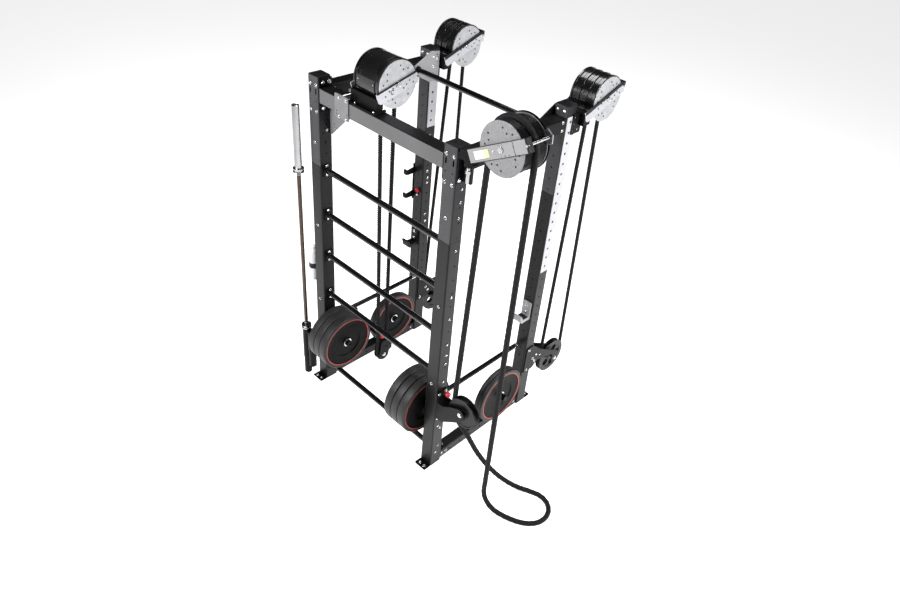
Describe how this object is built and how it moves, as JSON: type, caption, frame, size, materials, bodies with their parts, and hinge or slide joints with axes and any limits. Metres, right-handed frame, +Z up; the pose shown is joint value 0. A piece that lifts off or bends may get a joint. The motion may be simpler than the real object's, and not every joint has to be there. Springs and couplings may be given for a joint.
{
  "type": "power cage",
  "caption": "Four-post power cage with a rung ladder, pull-up bar, rope-pull drum units over pulleys, stored weight plates and an upright barbell.",
  "frame": {"origin": "centre of the footprint on the floor, without the free rope", "axes": "+Z up, +Y from the ladder side to the rear, +X from the barbell side to the side drum unit"},
  "size_m": [2.2799, 1.696, 2.8033],
  "materials": {
    "black_steel": "satin black powder coat with a fine orange-peel texture",
    "grey_steel": "light grey satin coat",
    "silver_steel": "bright zinc-plated sheet",
    "black_plastic": "moulded black plastic, semi-gloss",
    "black_rope": "braided black rope",
    "rubber": "black crumb rubber with a satin skin",
    "chrome": "polished hard chrome",
    "red_plastic": "glossy red knob",
    "white_plastic": "translucent white plastic"
  },
  "bodies": {
    "root": {"upright_front_left": "black_steel", "upright_front_right": "black_steel", "upright_rear_left": "black_steel", "upright_rear_right": "black_steel", "base_rail_left": "black_steel", "base_rail_right": "black_steel", "front_beam": "black_steel", "top_rail_left": "black_steel", "top_rail_right": "black_steel", "rung_1": "black_steel", "rung_2": "black_steel", "rung_3": "black_steel", "rung_4": "black_steel", "bottom_tube": "black_steel", "side_bar_left": "black_steel", "side_bar_right": "black_steel", "pull_up_bar": "black_steel", "pulley_bracket_front": "black_steel", "pulley_bracket_side": "black_steel", "pulley_bracket_rear_left": "black_steel", "pulley_bracket_rear_right": "black_steel", "bar_holder": "black_steel", "hook_plate": "black_steel", "bar_plate_left": "grey_steel", "bar_plate_right": "grey_steel", "drum_arm_front": "silver_steel", "drum_arm_side": "silver_steel", "drum_arm_rear_left": "silver_steel", "drum_arm_rear_right": "silver_steel", "drum_hood_front": "black_plastic", "drum_hood_rear_left": "black_plastic", "drum_hood_rear_right": "black_plastic", "bottle_ring": "black_plastic", "rope_front": "black_rope", "rope_rear_left": "black_rope", "rope_rear_right": "black_rope", "rope_side_held": "black_rope", "rope_side_slack": "black_rope"},
    "barbell": {"bar_shaft": "chrome"},
    "drum_front": {"drum_front": "black_plastic"},
    "drum_side": {"drum_side": "black_plastic"},
    "drum_rear_left": {"drum_rear_left": "black_plastic"},
    "drum_rear_right": {"drum_rear_right": "black_plastic"},
    "pulley_front": {"pulley_front": "black_plastic"},
    "pulley_side": {"pulley_side": "black_plastic"},
    "pulley_rear_left": {"pulley_rear_left": "black_plastic"},
    "pulley_rear_right": {"pulley_rear_right": "black_plastic"},
    "pull_pin_front": {"pull_pin_front": "red_plastic"},
    "pull_pin_side": {"pull_pin_side": "red_plastic"},
    "plates_left_inner": {"plates_left_inner": "rubber"},
    "plate_left_outer": {"plate_left_outer": "rubber"},
    "plates_right_inner": {"plates_right_inner": "rubber"},
    "plate_right_outer": {"plate_right_outer": "rubber"},
    "plate_rear_left": {"plate_rear_left": "rubber"},
    "plates_rear_right": {"plates_rear_right": "rubber"},
    "bar_sleeve_lower": {"bar_sleeve_lower": "chrome"},
    "bar_sleeve_upper": {"bar_sleeve_upper": "chrome"},
    "bottle": {"bottle": "white_plastic"},
    "j_cup_left": {"j_cup_left": "silver_steel"},
    "j_cup_right": {"j_cup_right": "silver_steel"}
  },
  "joints": [
    {"name": "drum_front_spin", "type": "hinge", "parent": "root", "child": "drum_front", "pos_m": [-0.3302, -0.471, 2.588], "axis": [1, 0, 0], "continuous": true},
    {"name": "pulley_front_spin", "type": "hinge", "parent": "root", "child": "pulley_front", "pos_m": [-0.3302, -0.468, 0.446], "axis": [1, 0, 0], "continuous": true},
    {"name": "drum_rear_left_spin", "type": "hinge", "parent": "root", "child": "drum_rear_left", "pos_m": [-0.8002, 0.617, 2.487], "axis": [1, 0, 0], "continuous": true},
    {"name": "pulley_rear_left_spin", "type": "hinge", "parent": "root", "child": "pulley_rear_left", "pos_m": [-0.8002, 0.552, 0.255], "axis": [1, 0, 0], "continuous": true},
    {"name": "drum_rear_right_spin", "type": "hinge", "parent": "root", "child": "drum_rear_right", "pos_m": [0.4098, 0.647, 2.492], "axis": [1, 0, 0], "continuous": true},
    {"name": "pulley_rear_right_spin", "type": "hinge", "parent": "root", "child": "pulley_rear_right", "pos_m": [0.4098, 0.702, 0.255], "axis": [1, 0, 0], "continuous": true},
    {"name": "drum_side_spin", "type": "hinge", "parent": "root", "child": "drum_side", "pos_m": [0.7828, -0.623, 2.642], "axis": [0, 1, 0], "continuous": true},
    {"name": "pulley_side_spin", "type": "hinge", "parent": "root", "child": "pulley_side", "pos_m": [0.6758, -0.623, 0.687], "axis": [0, 1, 0], "continuous": true},
    {"name": "pull_pin_front_pull", "type": "slide", "parent": "root", "child": "pull_pin_front", "axis": [0, 0, 1], "range_m": [0, 0.015], "stiffness_N_per_m": 600},
    {"name": "pull_pin_side_pull", "type": "slide", "parent": "root", "child": "pull_pin_side", "axis": [1, 0, 0], "range_m": [0, 0.015], "stiffness_N_per_m": 600},
    {"name": "plates_left_slide", "type": "slide", "parent": "root", "child": "plates_left_inner", "axis": [1, 0, 0], "range_m": [0, 0.08]},
    {"name": "plate_left_outer_slide", "type": "slide", "parent": "plates_left_inner", "child": "plate_left_outer", "axis": [1, 0, 0], "range_m": [0, 0.09]},
    {"name": "plates_right_slide", "type": "slide", "parent": "root", "child": "plates_right_inner", "axis": [-1, 0, 0], "range_m": [0, 0.08]},
    {"name": "plate_right_outer_slide", "type": "slide", "parent": "plates_right_inner", "child": "plate_right_outer", "axis": [-1, 0, 0], "range_m": [0, 0.09]},
    {"name": "plate_rear_left_slide", "type": "slide", "parent": "root", "child": "plate_rear_left", "axis": [1, 0, 0], "range_m": [0, 0.1]},
    {"name": "plates_rear_right_slide", "type": "slide", "parent": "root", "child": "plates_rear_right", "axis": [1, 0, 0], "range_m": [0, 0.12]},
    {"name": "barbell_lift", "type": "slide", "parent": "root", "child": "barbell", "axis": [0, 0, 1], "range_m": [0, 0.46]},
    {"name": "sleeve_lower_spin", "type": "hinge", "parent": "barbell", "child": "bar_sleeve_lower", "pos_m": [-0.8552, -0.773, 0.3], "axis": [0, 0, 1], "continuous": true},
    {"name": "sleeve_upper_spin", "type": "hinge", "parent": "barbell", "child": "bar_sleeve_upper", "pos_m": [-0.8552, -0.773, 2.1], "axis": [0, 0, 1], "continuous": true},
    {"name": "bottle_lift", "type": "slide", "parent": "root", "child": "bottle", "axis": [0, 0, 1], "range_m": [0, 0.2]},
    {"name": "j_cup_left_height", "type": "slide", "parent": "root", "child": "j_cup_left", "axis": [0, 0, 1], "range_m": [-0.2, 1.2]},
    {"name": "j_cup_right_height", "type": "slide", "parent": "root", "child": "j_cup_right", "axis": [0, 0, 1], "range_m": [-0.2, 1.2]}
  ],
  "couplings": [
    {"joint": "pulley_front_spin", "follows": "drum_front_spin", "ratio": 1.4737},
    {"joint": "pulley_rear_left_spin", "follows": "drum_rear_left_spin", "ratio": 0.4643},
    {"joint": "pulley_rear_right_spin", "follows": "drum_rear_right_spin", "ratio": 0.5},
    {"joint": "pulley_side_spin", "follows": "drum_side_spin", "ratio": 1.5104}
  ]
}
